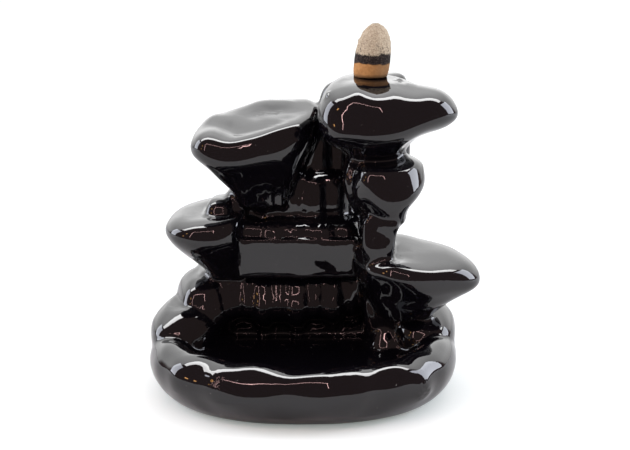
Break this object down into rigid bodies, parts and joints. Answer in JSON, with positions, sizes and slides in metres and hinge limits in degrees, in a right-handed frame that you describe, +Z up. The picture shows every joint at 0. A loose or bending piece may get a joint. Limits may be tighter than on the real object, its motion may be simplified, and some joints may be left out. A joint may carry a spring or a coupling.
{
  "type": "backflow incense burner",
  "caption": "Glazed ceramic backflow incense burner shaped as a stepped rock waterfall over an oval pool, with an incense cone standing on its top rock.",
  "frame": {"origin": "middle of the flat foot ring that the burner stands on", "axes": "+Z up, +Y towards the back, +X to the right as seen from the pool"},
  "size_m": [0.1259, 0.1008, 0.1404],
  "materials": {
    "glaze": "near-black high-gloss glaze, pooled soft in the corners",
    "incense": "pressed wood powder, ash grey above a black burning line and tan below it"
  },
  "bodies": {
    "root": {"burner_body": "glaze", "incense_cone": "incense"}
  },
  "joints": []
}
